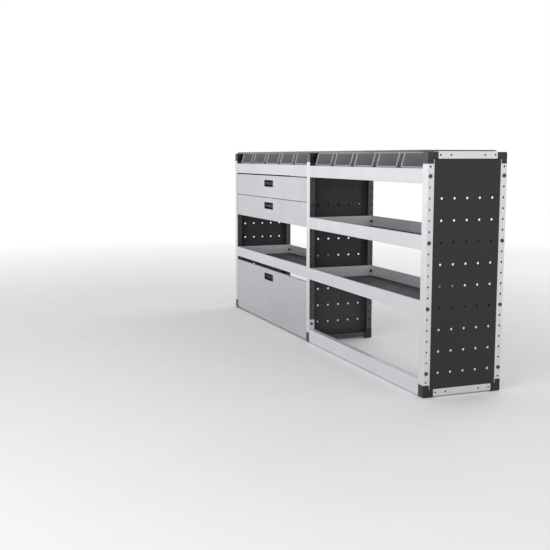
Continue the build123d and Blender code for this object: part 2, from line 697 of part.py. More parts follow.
def main():
    os.makedirs("parts", exist_ok=True)
    for side in FRAMES:
        frame_parts(side)
    for bay in BAYS:
        rail = top_rail(bay, rail_span(bay, BOLT_Z[3])[0])
        write(f"top_tray_{bay}", tray(bay, BOLT_Z[3], True), rail)
        write(f"shelf_tray_{bay}", tray(bay, BOLT_Z[1], False))
        write(f"shelf_mat_{bay}", mat(bay, BOLT_Z[1]))
        bins(bay)
    write("upper_shelf_tray_right", tray("right", BOLT_Z[2], False))
    write("upper_shelf_mat_right", mat("right", BOLT_Z[2]))
    write("bottom_rail_right", bottom_rail())
    for which in DRAWER_Z:
        drawer_parts(which)
    write("slides_outer", *slide_pair("outer", "upper"), *slide_pair("outer", "lower"))
    drawer_keeper = keeper(DRAWER_Z["upper"][1], rail_span("left", BOLT_Z[3])[0])
    flap_keeper = keeper(FLAP_Z[1], rail_span("left", BOLT_Z[1])[0])
    write("latch_keepers", drawer_keeper, flap_keeper, keeper_rail())
    flap_parts()
    fasteners()


main()
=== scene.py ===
"""Looks of a two-bay van racking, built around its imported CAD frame.

Every length is in metres. X runs along the racking, the front faces -Y, Z is up,
and the origin is on the floor under the middle.
"""

import math

import bmesh
import bpy
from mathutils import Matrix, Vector


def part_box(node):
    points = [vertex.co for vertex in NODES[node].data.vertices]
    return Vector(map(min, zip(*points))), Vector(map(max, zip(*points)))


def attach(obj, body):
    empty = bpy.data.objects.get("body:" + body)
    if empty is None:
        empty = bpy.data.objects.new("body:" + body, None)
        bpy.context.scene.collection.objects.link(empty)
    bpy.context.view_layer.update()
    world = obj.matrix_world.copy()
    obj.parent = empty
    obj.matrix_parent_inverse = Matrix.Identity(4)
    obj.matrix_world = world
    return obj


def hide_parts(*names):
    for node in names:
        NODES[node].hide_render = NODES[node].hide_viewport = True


bl_info = {
    "name": "Van racking",
    "version": (1, 0, 0),
    "blender": (4, 5, 0),
    "location": "3D View > Sidebar > Racking",
    "description": "Finishes and fine pieces of a two-bay van racking",
    "category": "Object",
}

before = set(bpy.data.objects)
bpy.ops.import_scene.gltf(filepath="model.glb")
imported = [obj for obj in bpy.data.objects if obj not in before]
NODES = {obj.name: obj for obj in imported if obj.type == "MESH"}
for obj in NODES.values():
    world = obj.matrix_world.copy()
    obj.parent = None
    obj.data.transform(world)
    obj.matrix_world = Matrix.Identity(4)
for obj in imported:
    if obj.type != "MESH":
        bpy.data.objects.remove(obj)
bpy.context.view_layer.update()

BAYS = ("left", "right")
FRAMES = ("left", "middle", "right")
DRAWERS = ("upper", "lower")
FRONTS = ("upper", "lower", "flap")
BIN_COUNT = 5
MM = 0.001
# A gap that keeps two surfaces from lying in the same plane
HAIR = 0.05 * MM
# Faces that meet at more than this angle keep a sharp edge
SHARP_ANGLE = math.radians(40)
# Points in each ring of a bolt, a nut or a screw head
RING_POINTS = 24

# Thickness of the bent sheets
SHEET = 1.5 * MM

# A bin's walls: how far the sides rise over the front lip, the slope's run, the thickness
BIN_RISE = 60 * MM
BIN_SLOPE_RUN = 17 * MM
BIN_WALL = 3 * MM

# The high backs' hem from front to rear, and how far the hem stays from the tray's end
GUARD_Y = (0.162, 0.170)
GUARD_INSET = 15 * MM
# The edging beside the middle frame's cap, and the height from which it passes over it
GUARD_BESIDE_CAP = 2 * MM
GUARD_OVER_Z = 1.0105

# Width of the hem on the rail round the top
RAIL_HEM = 8 * MM

# The edging on the high backs and the rails: thickness, return behind the hem, roundings
TRIM_WALL = 0.5 * MM
TRIM_RETURN = 8 * MM
TRIM_ROUND = 0.2 * MM
RAIL_ROUND = 0.15 * MM


# Properties


def linear(level):
    """One sRGB level, 0 to 255, as linear light."""
    part = level / 255
    return part / 12.92 if part <= 0.04045 else ((part + 0.055) / 1.055) ** 2.4


def paint(name, text, levels):
    """A colour property, with its default in sRGB levels."""
    return bpy.props.FloatVectorProperty(
        name=name,
        description=text,
        default=[linear(v) for v in levels],
        subtype="COLOR",
        size=3,
        min=0,
        max=1,
    )


def share(name, text, value):
    """A property between 0 and 1."""
    return bpy.props.FloatProperty(
        name=name, description=text, default=value, subtype="FACTOR", min=0, max=1
    )


def length(name, text, value):
    """A length property in metres."""
    return bpy.props.FloatProperty(
        name=name, description=text, default=value, unit="LENGTH", min=0, precision=5
    )


def watts(name, text, value):
    """A lamp's power in watts."""
    return bpy.props.FloatProperty(name=name, description=text, default=value, unit="POWER")


class RackingColours(bpy.types.PropertyGroup):
    post: paint("Posts", "Anodised aluminium of the posts and side rails", (219, 219, 222))
    tray: paint("Trays", "Aluminium sheet of the trays and rails", (213, 213, 219))
    # Darker than the trays' same sheet: painted shade for the dark reflections in the fronts
    front: paint("Fronts", "Aluminium sheet of the drawer fronts and the flap", (193, 193, 198))
    panel: paint("Panels", "Powder coat of the right panel", (46, 46, 46))
    # Darker than the panels' same coat: painted shade, so that the boxes seen through holes look
    # black
    box: paint("Drawer boxes", "Powder coat of the drawer boxes", (28, 28, 28))
    # Lighter than the right panel's same coat: painted light on the panels that stand in shade
    # inside the bays
    inner: paint("Inner panels", "Powder coat of the left and middle panels", (60, 60, 60))
    # Lighter than the panels' same coat: painted light on the channels; their bare-bright rubbed
    # edges paint highlights along the bends
    channel: paint("Channels", "Powder coat of the inner channels", (66, 66, 66))
    cap: paint("Corner caps", "Moulded plastic of the corner caps", (22, 23, 24))
    bin: paint("Bins", "Moulded plastic of the bins", (132, 132, 136))
    # Much lighter than the bins' plastic: a painted highlight along the bins' rims
    rim_highlight: paint("Bin rim highlights", "Edging on the bins", (188, 189, 192))
    trim: paint("Trims", "Edging on the high backs and the rails round the top", (98, 99, 102))
    handle: paint("Handles", "Moulded plastic of the handles", (16, 17, 18))
    mat: paint("Mats", "Rubber of the shelf mats", (44, 44, 46))
    bolt: paint("Bolts", "Blackened steel of the bolts and nuts", (72, 72, 74))
    slide: paint("Slides", "Blackened steel of the slides and keepers", (34, 34, 36))
    zinc: paint("Zinc", "Zinc plated steel of the hinges and the sill", (176, 178, 180))
    dust: paint("Dust", "Fine dust that settles on level faces", (150, 146, 140))


class RackingSizes(bpy.types.PropertyGroup):
    rim_width: length("Rim width", "Width of the edging on a bin's walls", 0.0042)
    rim_depth: length("Rim depth", "How far the edging reaches down a wall", 0.004)
    rim_over: length("Rim over", "How far the edging stands over a wall's edge", 0.001)
    trim_depth: length("Trim depth", "Height of the edging on a high back", 0.062)
    soft_edge: length("Edge radius", "Radius that softens the edges of the sheets", 0.0008)
    screw: length("Screw head", "Radius of the hinges' screw heads", 0.0035)
    # Rubbed edges, which also paint highlights along the edges
    wear_and_highlight: share("Wear", "How much of the edges is rubbed bright", 0.35)
    dust: share("Dust", "How much dust lies on level faces", 0.12)


class RackingStage(bpy.types.PropertyGroup):
    floor: paint("Floor", "Colour of the floor", (246, 246, 246))
    ambient: share("Ambient light", "Strength of the light from all round", 0.6)
    key: watts("Key light", "Power of the key light", 84)
    side: watts("Side light", "Power of the side light", 9)
    low: watts("Low light", "Power of the low light on the left", 18)
    back: watts("Back light", "Power of the back light", 45)
    lens: bpy.props.FloatProperty(
        name="Lens",
        description="Focal length on a 36 mm sensor",
        default=58.75,
        unit="CAMERA",
        min=10,
    )


# Shader effects


def feed(tree, socket, value):
    """Sets a socket, or links it where the value is a socket itself."""
    if isinstance(value, bpy.types.NodeSocket):
        tree.links.new(value, socket)
    else:
        socket.default_value = value


def add_node(tree, kind, values=None, **settings):
    """A new node with its settings and, by socket, its values or links."""
    made = tree.nodes.new(kind)
    for label, setting in settings.items():
        setattr(made, label, setting)
    for socket, value in (values or {}).items():
        feed(tree, made.inputs[socket], value)
    return made


def effect(name, inputs, outputs):
    """A shader node group with these sockets, its input node and its output node."""
    tree = bpy.data.node_groups.new(name, "ShaderNodeTree")
    kinds = {float: "NodeSocketFloat", tuple: "NodeSocketVector"}
    for label, value in inputs.items():
        socket = tree.interface.new_socket(
            name=label, in_out="INPUT", socket_type=kinds[type(value)]
        )
        if label != "Normal":
            socket.default_value = value
    for label in outputs:
        kind = "NodeSocketVector" if label == "Normal" else "NodeSocketFloat"
        tree.interface.new_socket(name=label, in_out="OUTPUT", socket_type=kind)
    return tree, tree.nodes.new("NodeGroupInput"), tree.nodes.new("NodeGroupOutput")


def place(tree, stretch=None):
    """Coordinates that stay with a piece, in metres, stretched by a vector socket."""
    spot = tree.nodes.new("ShaderNodeTexCoord").outputs["Object"]
    if stretch is None:
        return spot
    values = {0: spot, 1: stretch}
    return add_node(tree, "ShaderNodeVectorMath", values, operation="MULTIPLY").outputs[0]


def noise(tree, spot, scale, detail=2.0, rough=0.5):
    """The value of a noise texture. The scale is a number or a socket."""
    values = {"Vector": spot, "Scale": scale, "Detail": detail, "Roughness": rough}
    return add_node(tree, "ShaderNodeTexNoise", values).outputs[0]


def remap(tree, value, low=0.0, high=1.0, to_low=0.0, to_high=1.0):
    """A value spread from one range to another, held at the ends."""
    ends = {"From Min": low, "From Max": high, "To Min": to_low, "To Max": to_high}
    return add_node(tree, "ShaderNodeMapRange", {"Value": value, **ends}).outputs["Result"]


def math_node(tree, operation, first, second):
    """One step of arithmetic on two sockets or numbers."""
    values = {0: first, 1: second}
    return add_node(tree, "ShaderNodeMath", values, operation=operation).outputs[0]


def bump(tree, height, depth, normal):
    """A normal that follows a height to a depth, both of them sockets."""
    values = {"Strength": 1.0, "Height": height, "Distance": depth, "Normal": normal}
    return add_node(tree, "ShaderNodeBump", values).outputs["Normal"]


def soft_edges():
    """Rounded edges, and a mask where they are rubbed, which also paints highlights along them."""
    tree, given, made = effect("Soft edges", {"Radius": 0.001, "Wear": 0.3}, ("Normal", "Worn"))
    values = {"Radius": given.outputs["Radius"]}
    soft = add_node(tree, "ShaderNodeBevel", values, samples=4).outputs["Normal"]
    tree.links.new(soft, made.inputs["Normal"])
    flat = tree.nodes.new("ShaderNodeNewGeometry").outputs["Normal"]
    angle = add_node(tree, "ShaderNodeVectorMath", {0: soft, 1: flat}, operation="DOT_PRODUCT")
    edge = remap(tree, angle.outputs["Value"], low=0.995, high=0.85)
    patches = noise(tree, place(tree), scale=28.0, detail=3.0, rough=0.6)
    patches = remap(tree, patches, low=0.42, high=0.66)
    rubbed = math_node(tree, "MULTIPLY", edge, patches)
    worn_and_highlight = math_node(tree, "MULTIPLY", rubbed, given.outputs["Wear"])
    tree.links.new(worn_and_highlight, made.inputs["Worn"])


def drawn_lines():
    """Fine lines that a die or a roller leaves in metal, along the stretched axis."""
    inputs = {
        "Along": (1.0, 1.0, 1.0),
        "Fineness": 900.0,
        "Depth": 0.02 * MM,
        "Normal": (0.0, 0.0, 0.0),
    }
    tree, given, made = effect("Drawn lines", inputs, ("Lines", "Normal"))
    spot = place(tree, given.outputs["Along"])
    fine = noise(tree, spot, given.outputs["Fineness"], rough=0.6)
    coarse = math_node(tree, "MULTIPLY", given.outputs["Fineness"], 0.17)
    broad = noise(tree, spot, coarse)
    lines = math_node(tree, "ADD", math_node(tree, "MULTIPLY", fine, 0.6), broad)
    lines = remap(tree, lines, low=0.5, high=1.1)
    tree.links.new(lines, made.inputs["Lines"])
    normal = bump(tree, lines, given.outputs["Depth"], given.outputs["Normal"])
    tree.links.new(normal, made.inputs["Normal"])


def moulded_grain():
    """The pebbled skin of moulded plastic, rubber or powder coat."""
    inputs = {"Fineness": 700.0, "Depth": 0.05 * MM, "Normal": (0.0, 0.0, 0.0)}
    tree, given, made = effect("Moulded grain", inputs, ("Grain", "Normal"))
    spot = place(tree)
    values = {"Vector": spot, "Scale": given.outputs["Fineness"]}
    cells = add_node(tree, "ShaderNodeTexVoronoi", values, feature="SMOOTH_F1")
    coarse = math_node(tree, "MULTIPLY", given.outputs["Fineness"], 0.3)
    height = math_node(tree, "ADD", cells.outputs["Distance"], noise(tree, spot, coarse))
    height = remap(tree, height, low=0.45, high=1.25)
    tree.links.new(height, made.inputs["Grain"])
    normal = bump(tree, height, given.outputs["Depth"], given.outputs["Normal"])
    tree.links.new(normal, made.inputs["Normal"])


def handling():
    """Slow changes of tone, smudges, and dust on faces that look up."""
    tree, given, made = effect("Handling", {"Dust": 0.2}, ("Tone", "Smudge", "Dusty"))
    spot = place(tree)
    tone = noise(tree, spot, scale=3.1, detail=3.0, rough=0.55)
    tone = remap(tree, tone, low=0.3, high=0.7)
    tree.links.new(tone, made.inputs["Tone"])
    smudge = noise(tree, spot, scale=14.0, detail=4.0, rough=0.62)
    smudge = remap(tree, smudge, low=0.38, high=0.68)
    tree.links.new(smudge, made.inputs["Smudge"])
    facing = tree.nodes.new("ShaderNodeSeparateXYZ")
    normal = tree.nodes.new("ShaderNodeNewGeometry").outputs["Normal"]
    tree.links.new(normal, facing.inputs[0])
    level = remap(tree, facing.outputs["Z"], low=0.6, high=0.95)
    drift = noise(tree, spot, scale=60.0, detail=5.0, rough=0.7)
    drift = remap(tree, drift, low=0.3, high=0.75)
    settled = math_node(tree, "MULTIPLY", level, drift)
    dusty = math_node(tree, "MULTIPLY", settled, given.outputs["Dust"])
    tree.links.new(dusty, made.inputs["Dusty"])


EFFECTS = {
    "Soft edges": soft_edges,
    "Drawn lines": drawn_lines,
    "Moulded grain": moulded_grain,
    "Handling": handling,
}


def use_effect(tree, name, normal=None, **values):
    """Places an effect in a material with its own values."""
    if name not in bpy.data.node_groups:
        EFFECTS[name]()
    made = tree.nodes.new("ShaderNodeGroup")
    made.node_tree = bpy.data.node_groups[name]
    for label, value in values.items():
        made.inputs[label].default_value = value
    if normal is not None:
        tree.links.new(normal, made.inputs["Normal"])
    return made


# Finishes

# Tone of the grain's hollows, and of a rubbed edge, partly a painted highlight, that has no colour
# of its own
HOLLOW_TONE, RUBBED_TONE = 0.55, 1.5
# Roughness that a full coat of dust adds
DUST_ROUGH = 0.5
# Change of tone over bare metal
METAL_SPREAD = 0.035


def blend_colour(tree, mask, first, second):
    """One colour over another by a mask. A colour is a value or a socket."""
    made = add_node(tree, "ShaderNodeMix", data_type="RGBA")
    tree.links.new(mask, made.inputs[0])
    for socket, colour in ((made.inputs[6], first), (made.inputs[7], second)):
        if isinstance(colour, bpy.types.NodeSocket):
            tree.links.new(colour, socket)
        else:
            socket.default_value = (*colour, 1.0)
    return made.outputs[2]


def toned(colour, factor):
    """A colour made lighter or darker."""
    return [min(1.0, c * factor) for c in colour]


def finish(name, colour, rough, grain, bright=None, dusty=True, spread=0.08, **shader):
    """A finish: colour with slow and fine changes, worn edges that also paint highlights, dust,
    roughness and grain.

    rough is the smoothest and the roughest value. grain is an effect's name with its
    values. bright is the colour of a rubbed edge, partly a painted highlight, and spread
    the change of tone.
    """
    made = bpy.data.materials.new(name)
    made.use_nodes = True
    tree = made.node_tree
    skin = tree.nodes["Principled BSDF"]
    for label, value in shader.items():
        skin.inputs[label.replace("_", " ")].default_value = value
    sizes = bpy.context.scene.racking_sizes
    colours = bpy.context.scene.racking_colours
    edges = use_effect(tree, "Soft edges", Radius=sizes.soft_edge, Wear=sizes.wear_and_highlight)
    effect_name, values = grain
    fine = use_effect(tree, effect_name, edges.outputs["Normal"], **values)
    marks = use_effect(tree, "Handling", Dust=sizes.dust if dusty else 0.0)
    base = blend_colour(
        tree, marks.outputs["Tone"], toned(colour, 1 - spread), toned(colour, 1 + spread)
    )
    hollows = remap(tree, fine.outputs[0], to_high=spread * 2)
    base = blend_colour(tree, hollows, base, toned(colour, HOLLOW_TONE))
    # Rubbed edges: partly wear, partly a painted highlight along the edges
    base = blend_colour(tree, edges.outputs["Worn"], base, bright or toned(colour, RUBBED_TONE))
    base = blend_colour(tree, marks.outputs["Dusty"], base, colours.dust)
    tree.links.new(base, skin.inputs["Base Color"])
    smoothest, roughest = rough
    roughness = remap(tree, marks.outputs["Smudge"], to_low=smoothest, to_high=roughest)
    dull = math_node(tree, "MULTIPLY", marks.outputs["Dusty"], DUST_ROUGH)
    roughness = math_node(tree, "ADD", roughness, dull)
    tree.links.new(roughness, skin.inputs["Roughness"])
    tree.links.new(fine.outputs["Normal"], skin.inputs["Normal"])
    return made


def drawn(along, fineness=900.0):
    """Drawn lines along one axis, where the noise is fifty times as long."""
    stretch = [1.0, 1.0, 1.0]
    stretch["XYZ".index(along)] = 1 / 50
    return "Drawn lines", {"Along": stretch, "Fineness": fineness, "Depth": 0.02 * MM}


def grained(fineness, depth):
    """Moulded grain, with its depth in metres."""
    return "Moulded grain", {"Fineness": fineness, "Depth": depth}


def recipes():
    c = bpy.context.scene.racking_colours
    bare = [linear(235)] * 3
    grey = [linear(120)] * 3
    aluminium = dict(Metallic=0.5, spread=METAL_SPREAD, bright=bare)
    post = dict(aluminium, colour=c.post, rough=(0.3, 0.42))
    panel = dict(
        colour=c.panel,
        rough=(0.36, 0.44),
        grain=grained(650.0, 0.04 * MM),
        bright=grey,
        spread=0.06,
        Specular_IOR_Level=0.25,
    )
    black_steel = dict(
        rough=(0.26, 0.42),
        grain=grained(1500.0, 0.02 * MM),
        bright=bare,
        Metallic=0.8,
        dusty=False,
    )
    return {
        "Post aluminium": dict(post, grain=drawn("Z")),
        "Side rail aluminium": dict(post, grain=drawn("Y")),
        "Tray aluminium": dict(
            aluminium, colour=c.tray, rough=(0.3, 0.44), grain=drawn("X"), Metallic=0.3
        ),
        # A darker copy of the trays' sheet: painted shade for the fronts' dark reflections
        "Front sheet": dict(
            aluminium, colour=c.front, rough=(0.3, 0.4), grain=drawn("X", 1100.0)
        ),
        "Panel powder coat": panel,
        # A lighter copy of the panels' coat: painted light for the inner panels' shade
        "Inner panel coat": dict(panel, colour=c.inner),
        # A darker copy of the panels' coat: painted shade for the holes into the drawers
        "Box powder coat": dict(panel, colour=c.box),
        # A lighter copy of the panels' coat with bare-bright edges: painted light and painted
        # highlights on the channels
        "Channel powder coat": dict(
            panel,
            colour=c.channel,
            rough=(0.24, 0.32),
            Specular_IOR_Level=0.5,
            bright=bare,
            grain=grained(650.0, 0.03 * MM),
        ),
        "Cap plastic": dict(
            colour=c.cap, rough=(0.24, 0.34), grain=grained(900.0, 0.04 * MM), bright=grey
        ),
        "Bin plastic": dict(
            colour=c.bin, rough=(0.4, 0.52), grain=grained(800.0, 0.06 * MM), bright=grey
        ),
        # The rims' light colour is a painted highlight along the bins' edges
        "Rim plastic": dict(
            colour=c.rim_highlight, rough=(0.34, 0.44), grain=grained(1200.0, 0.03 * MM)
        ),
        "Trim plastic": dict(
            colour=c.trim, rough=(0.36, 0.48), grain=grained(900.0, 0.04 * MM), bright=grey
        ),
        "Handle plastic": dict(
            colour=c.handle,
            rough=(0.34, 0.46),
            grain=grained(1000.0, 0.05 * MM),
            bright=grey,
            Specular_IOR_Level=0.1,
        ),
        "Mat rubber": dict(
            colour=c.mat, rough=(0.62, 0.78), grain=grained(420.0, 0.2 * MM), bright=grey
        ),
        "Black steel": dict(black_steel, colour=c.bolt),
        "Slide steel": dict(black_steel, colour=c.slide),
        "Zinc steel": dict(
            colour=c.zinc,
            rough=(0.26, 0.44),
            grain=grained(260.0, 0.01 * MM),
            bright=bare,
            Metallic=0.9,
            spread=0.07,
        ),
    }


def material(name):
    """A finish by name, made when it is first asked for."""
    return bpy.data.materials.get(name) or finish(name, **recipes()[name])


def dress(finish_name, *nodes):
    """Gives CAD nodes a finish."""
    for node in nodes:
        for socket in NODES[node].material_slots:
            socket.material = material(finish_name)


# Mesh work


def new_piece(name, mesh_work, body, finish_name):
    """Turns finished mesh work into a piece that rides on a body."""
    mesh = bpy.data.meshes.new(name)
    bmesh.ops.recalc_face_normals(mesh_work, faces=mesh_work.faces)
    mesh_work.to_mesh(mesh)
    mesh_work.free()
    mesh.materials.append(material(finish_name))
    mesh.shade_smooth()
    mesh.set_sharp_from_angle(angle=SHARP_ANGLE)
    piece = bpy.data.objects.new(name, mesh)
    bpy.context.scene.collection.objects.link(piece)
    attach(piece, body)
    return piece


def add_prism(mesh_work, x0, x1, outline, round_by):
    """A closed outline in Y and Z, pulled from x0 to x1, with rounded edges."""
    ends = [[mesh_work.verts.new((x, y, z)) for y, z in outline] for x in (x0, x1)]
    faces = [mesh_work.faces.new(end) for end in ends]
    count = len(outline)
    for k in range(count):
        after = (k + 1) % count
        corners = (ends[0][k], ends[0][after], ends[1][after], ends[1][k])
        faces.append(mesh_work.faces.new(corners))
    edges = list({edge for face in faces for edge in face.edges})
    bmesh.ops.bevel(
        mesh_work, geom=edges, offset=round_by, segments=2, profile=0.5, affect="EDGES"
    )


def add_block(mesh_work, low, high, round_by):
    """A box between two corners, with rounded edges."""
    (x0, y0, z0), (x1, y1, z1) = low, high
    add_prism(mesh_work, x0, x1, [(y0, z0), (y1, z0), (y1, z1), (y0, z1)], round_by)


def add_rings(mesh_work, rings, along, across, start):
    """Skins a row of closed rings, each a distance and its points, and closes the ends."""
    side = along.cross(across)
    made = [
        [
            mesh_work.verts.new(start + along * distance + across * a + side * b)
            for a, b in points
        ]
        for distance, points in rings
    ]
    for one, other in zip(made, made[1:]):
        for k in range(len(one)):
            after = (k + 1) % len(one)
            mesh_work.faces.new((one[k], one[after], other[after], other[k]))
    mesh_work.faces.new(made[0])
    mesh_work.faces.new(made[-1])


def circle(radius):
    """Points round a circle."""
    turns = [math.tau * k / RING_POINTS for k in range(RING_POINTS)]
    return [(radius * math.cos(turn), radius * math.sin(turn)) for turn in turns]


def hexagon(flats):
    """Points round a hexagon with this distance across its flats."""
    points = []
    for k in range(RING_POINTS):
        turn = math.tau * k / RING_POINTS
        off = (turn + math.pi / 6) % (math.pi / 3) - math.pi / 6
        reach = flats / 2 / math.cos(off)
        points.append((reach * math.cos(turn), reach * math.sin(turn)))
    return points


def within(points, radius):
    """Points of a ring pulled in to a radius where they lie outside it."""
    pulled = []
    for a, b in points:
        reach = min(1.0, radius / math.hypot(a, b))
        pulled.append((a * reach, b * reach))
    return pulled


def islands(node):
    """The box of each separate solid of a CAD node, as lowest and highest corners."""
    mesh_work = bmesh.new()
    mesh_work.from_mesh(NODES[node].data)
    bmesh.ops.remove_doubles(mesh_work, verts=mesh_work.verts, dist=1e-6)
    left = set(mesh_work.verts)
    boxes = []
    while left:
        reached = [left.pop()]
        for vert in reached:
            for edge in vert.link_edges:
                other = edge.other_vert(vert)
                if other in left:
                    left.remove(other)
                    reached.append(other)
        points = [v.co for v in reached]
        low = Vector(min(p[k] for p in points) for k in range(3))
        high = Vector(max(p[k] for p in points) for k in range(3))
        boxes.append((low, high))
    mesh_work.free()
    return sorted(boxes, key=lambda box: tuple(box[0]))


# Operators


class FrameFinishes(bpy.types.Operator):
    """Finishes the three end frames: posts, side rails, panels, channels and caps"""

    bl_idname = "racking.frames"
    bl_label = "End frames"

    def execute(self, context):
        for side in FRAMES:
            dress("Post aluminium", f"post_{side}_front", f"post_{side}_rear")
            dress("Side rail aluminium", f"side_rails_{side}")
            # The left and middle panels get a lighter copy of the coat: painted light for their
            # shade
            coat = "Panel powder coat" if side == "right" else "Inner panel coat"
            dress(coat, f"side_panel_{side}")
            dress("Channel powder coat", f"inner_channels_{side}")
            dress("Cap plastic", f"corner_caps_{side}")
        return {"FINISHED"}


class TrayPieces(bpy.types.Operator):
    """Finishes the trays, mats and bottom rail, and adds the edging round the top"""

    bl_idname = "racking.trays"
    bl_label = "Trays and rails"

    def execute(self, context):
        dress("Tray aluminium", "upper_shelf_tray_right", "bottom_rail_right")
        dress("Mat rubber", "upper_shelf_mat_right")
        for bay in BAYS:
            dress("Tray aluminium", f"top_tray_{bay}", f"shelf_tray_{bay}")
            dress("Mat rubber", f"shelf_mat_{bay}")
            self.guard_trim(bay, context.scene.racking_sizes)
            self.rail_trim(bay)
        return {"FINISHED"}

    def guard_trim(self, bay, sizes):
        """Edging folded over a high back, beside the middle frame and over it."""
        low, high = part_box(f"top_tray_{bay}")
        bay_low, bay_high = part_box(f"shelf_tray_{bay}")
        if bay == "left":
            pass_x = bay_high.x - GUARD_BESIDE_CAP
            spans = ((low.x + GUARD_INSET, pass_x), (pass_x, high.x))
        else:
            pass_x = bay_low.x + GUARD_BESIDE_CAP
            spans = ((pass_x, high.x - GUARD_INSET), (low.x, pass_x))
        mesh_work = bmesh.new()
        for (x0, x1), skirt in zip(spans, (high.z - sizes.trim_depth, GUARD_OVER_Z)):
            add_prism(mesh_work, x0, x1, self.trim_outline(high.z, skirt), TRIM_ROUND)
        new_piece(f"guard_trim_{bay}", mesh_work, "racking", "Trim plastic")

    def trim_outline(self, top, skirt):
        """A front sheet down to the skirt, a top, and a short return behind the hem."""
        front, rear = GUARD_Y[0] - HAIR, GUARD_Y[1] + HAIR
        over = top + HAIR
        return [
            (front - TRIM_WALL, skirt),
            (front - TRIM_WALL, over + TRIM_WALL),
            (rear + TRIM_WALL, over + TRIM_WALL),
            (rear + TRIM_WALL, top - TRIM_RETURN),
            (rear, top - TRIM_RETURN),
            (rear, over),
            (front, over),
            (front, skirt),
        ]

    def rail_trim(self, bay):
        """Edging on the rail round the top: its front strip and its outer end."""
        low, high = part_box(f"top_tray_{bay}")
        if bay == "left":
            way, end, meet = 1, low.x + GUARD_INSET, high.x
        else:
            way, end, meet = -1, high.x - GUARD_INSET, low.x
        front, back = low.y - HAIR, GUARD_Y[0] - TRIM_WALL - 2 * HAIR
        inner = low.y + RAIL_HEM + HAIR
        out, over = end - way * HAIR, high.z + HAIR
        mesh_work = bmesh.new()
        strips = (
            ((out, front - TRIM_WALL, GUARD_OVER_Z), (meet, front, over)),
            ((out, front - TRIM_WALL, over), (meet, inner, over + TRIM_WALL)),
            ((out - way * TRIM_WALL, front - TRIM_WALL, GUARD_OVER_Z), (out, back, over)),
            (
                (out - way * TRIM_WALL, inner - HAIR, over),
                (end + way * (RAIL_HEM + HAIR), back, over + TRIM_WALL),
            ),
        )
        for near, far in strips:
            (x0, y0, z0), (x1, y1, z1) = near, far
            add_block(mesh_work, (min(x0, x1), y0, z0), (max(x0, x1), y1, z1), RAIL_ROUND)
        new_piece(f"rail_trim_{bay}", mesh_work, "racking", "Trim plastic")


class BinPieces(bpy.types.Operator):
    """Finishes the bins and adds the light edging round each one's mouth, a painted highlight
    along the rims
    """

    bl_idname = "racking.bins"
    bl_label = "Bins"

    def execute(self, context):
        for bay in BAYS:
            for k in range(1, BIN_COUNT + 1):
                dress("Bin plastic", f"bin_{bay}_{k}")
                self.rim_highlight(f"{bay}_{k}", context.scene.racking_sizes)
        return {"FINISHED"}

    def rim_highlight(self, which, sizes):
        """Edging bars on the side walls, the front lip and the back of a bin, in a light colour
        that paints the rims' highlight.
        """
        low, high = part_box(f"bin_{which}")
        over, deep = sizes.rim_over, sizes.rim_depth
        spare = (sizes.rim_width - BIN_WALL) / 2
        outline = self.side_outline(low.y, high.y, high.z, over, deep)
        round_by = 0.6 * MM
        mesh_work = bmesh.new()
        for x in (low.x - spare, high.x - BIN_WALL - spare):
            add_prism(mesh_work, x, x + sizes.rim_width, outline, round_by)
        x0, x1 = low.x + BIN_WALL + spare, high.x - BIN_WALL - spare
        for y, z in ((low.y, high.z - BIN_RISE), (high.y - BIN_WALL, high.z)):
            near = (x0 - round_by, y - spare, z - deep)
            far = (x1 + round_by, y + BIN_WALL + spare, z + over - HAIR)
            add_block(mesh_work, near, far, round_by)
        new_piece(f"bin_rim_{which}", mesh_work, f"bin_{which}", "Rim plastic")

    def side_outline(self, front, back, top, over, deep):
        """The edging of a side wall in Y and Z: up the slope, then back along the top."""
        lip = top - BIN_RISE
        tangent = math.hypot(BIN_SLOPE_RUN, BIN_RISE)
        foot = lip - deep

        def slope_y(z, off):
            """Y on the slope's line moved out by off, at a height."""
            along = front + (z - lip) * BIN_SLOPE_RUN / BIN_RISE
            return along - off * tangent / BIN_RISE

        out_y = front - over
        out_z = lip + (out_y + over * tangent / BIN_RISE - front) * BIN_RISE / BIN_SLOPE_RUN
        return [
            (out_y, foot),
            (out_y, max(out_z, foot + deep / 2)),
            (slope_y(top + over, over), top + over),
            (back + over, top + over),
            (back + over, top - deep),
            (slope_y(top - deep, -deep), top - deep),
            (slope_y(foot, -deep), foot),
        ]


